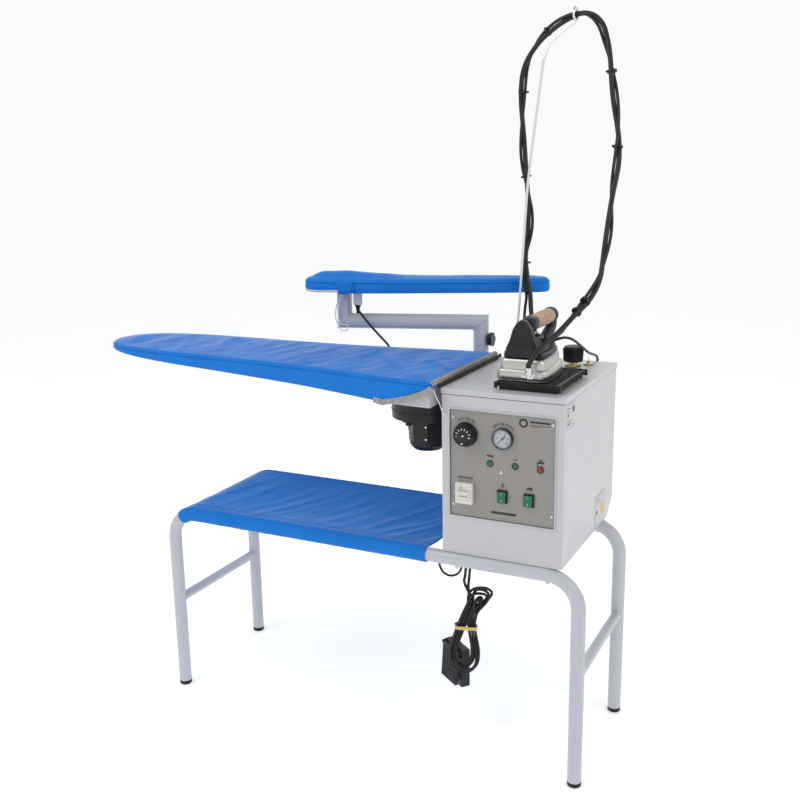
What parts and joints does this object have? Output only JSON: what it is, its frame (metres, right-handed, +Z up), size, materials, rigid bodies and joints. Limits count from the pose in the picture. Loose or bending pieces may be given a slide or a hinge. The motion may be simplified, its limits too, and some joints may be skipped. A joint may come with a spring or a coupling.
{
  "type": "steam ironing station",
  "caption": "Ironing station with a steam boiler cabinet, vacuum board, swinging sleeve board, cork-handled iron and a mast that holds its hose.",
  "frame": {"origin": "on the floor, under the middle of the station's box without its free cords", "axes": "+X towards the boiler cabinet, +Y away from the user who faces the control panel, +Z up"},
  "size_m": [1.425, 0.5614, 1.7758],
  "materials": {
    "tube_paint": "semi-gloss powder coat",
    "white_sheet": "satin powder coat",
    "panel_grey": "satin print",
    "black_plastic": "satin",
    "black_rubber": "matte",
    "blue_fabric": "plain weave",
    "steel": "brushed",
    "aluminium": "satin",
    "brass": "satin",
    "cork": "raw cork",
    "cream_plastic": "satin",
    "green_lamp": "translucent gloss",
    "red_lamp": "translucent gloss"
  },
  "bodies": {
    "station": {"front_tube_frame": "tube_paint", "rear_tube_frame": "tube_paint", "foot_plug_front_left": "black_rubber", "foot_plug_front_right": "black_rubber", "foot_plug_rear_left": "black_rubber", "foot_plug_rear_right": "black_rubber", "side_bar_left": "tube_paint", "side_bar_right": "tube_paint", "shelf_sling": "blue_fabric", "cabinet_shell": "white_sheet", "cabinet_base": "white_sheet", "cabinet_top": "white_sheet", "control_panel": "panel_grey", "gauge_body": "black_plastic", "lamp_left": "green_lamp", "lamp_middle": "green_lamp", "lamp_right": "red_lamp", "breaker_body": "cream_plastic", "boiler_tank": "steel", "heating_element": "steel", "filler_neck": "brass", "safety_valve": "brass", "solenoid_valve": "brass", "steam_outlet": "brass", "rear_cable_gland": "black_plastic", "mast_socket": "steel", "mast_rod": "steel", "steam_hose": "black_rubber", "iron_cable": "black_rubber", "return_cable": "black_rubber", "board_plenum": "white_sheet", "board_pad_cover": "blue_fabric", "fan_housing": "black_plastic", "fan_cable": "black_rubber", "sleeve_post": "tube_paint", "sleeve_cable": "black_rubber", "iron_rest_mat": "black_rubber", "cable_block": "black_plastic", "pedal_cord": "black_rubber", "pedal_hank": "black_rubber", "pedal_base": "black_plastic"},
    "thermostat": {"thermostat_knob": "black_plastic"},
    "pointer": {"gauge_needle": "black_plastic"},
    "breaker": {"breaker_lever": "black_plastic"},
    "left_rocker": {"rocker_left": "green_lamp"},
    "right_rocker": {"rocker_right": "green_lamp"},
    "cap": {"filler_cap": "black_plastic"},
    "impeller": {"fan_impeller": "aluminium"},
    "sleeve": {"sleeve_arm": "tube_paint", "sleeve_board_base": "white_sheet", "sleeve_pad_cover": "blue_fabric"},
    "clamp": {"sleeve_clamp_knob": "black_plastic"},
    "iron": {"iron_soleplate": "aluminium", "iron_cover": "steel", "iron_shell": "black_plastic", "iron_handle": "black_plastic", "iron_grip": "cork", "iron_hose_elbow": "steel"},
    "button": {"steam_button": "steel"},
    "pedal": {"pedal_tread": "black_rubber"}
  },
  "joints": [
    {"name": "thermostat_turn", "type": "hinge", "parent": "station", "child": "thermostat", "pos_m": [0.4253, -0.2452, 0.8227], "axis": [0, 1, 0], "range_deg": [0, 300]},
    {"name": "gauge_swing", "type": "hinge", "parent": "station", "child": "pointer", "pos_m": [0.5142, -0.2508, 0.8218], "axis": [0, 1, 0], "range_deg": [0, 270], "stiffness_Nm_per_rad": 0.001},
    {"name": "breaker_throw", "type": "hinge", "parent": "station", "child": "breaker", "pos_m": [0.4232, -0.2537, 0.684], "axis": [1, 0, 0], "range_deg": [0, 36]},
    {"name": "left_rocker_tip", "type": "hinge", "parent": "station", "child": "left_rocker", "pos_m": [0.5141, -0.2517, 0.6862], "axis": [1, 0, 0], "range_deg": [0, 16]},
    {"name": "right_rocker_tip", "type": "hinge", "parent": "station", "child": "right_rocker", "pos_m": [0.5768, -0.2517, 0.6854], "axis": [1, 0, 0], "range_deg": [0, 16]},
    {"name": "cap_turn", "type": "hinge", "parent": "station", "child": "cap", "pos_m": [0.5677, 0.1003, 0.9378], "axis": [0, 0, 1], "range_deg": [0, 360]},
    {"name": "fan_spin", "type": "hinge", "parent": "station", "child": "impeller", "pos_m": [0.2587, -0.0907, 0.84], "axis": [0, 0, 1], "continuous": true},
    {"name": "sleeve_swing", "type": "hinge", "parent": "station", "child": "sleeve", "pos_m": [0.2927, 0.1743, 0.905], "axis": [0, 0, 1], "range_deg": [0, 40], "deforming": ["sleeve_cable"]},
    {"name": "clamp_turn", "type": "hinge", "parent": "sleeve", "child": "clamp", "pos_m": [0.3217, 0.1743, 0.965], "axis": [1, 0, 0], "range_deg": [0, 360]},
    {"name": "iron_lift", "type": "slide", "parent": "station", "child": "iron", "axis": [0, 0, 1], "range_m": [0, 0.12], "deforming": ["steam_hose", "iron_cable", "return_cable"]},
    {"name": "button_press", "type": "slide", "parent": "iron", "child": "button", "axis": [0, 0, -1], "range_m": [0, 0.003], "stiffness_N_per_m": 600},
    {"name": "pedal_press", "type": "hinge", "parent": "station", "child": "pedal", "pos_m": [0.3387, -0.1367, 0.226], "axis": [0.7986, -0.6018, 0], "range_deg": [0, 4], "stiffness_Nm_per_rad": 3}
  ]
}
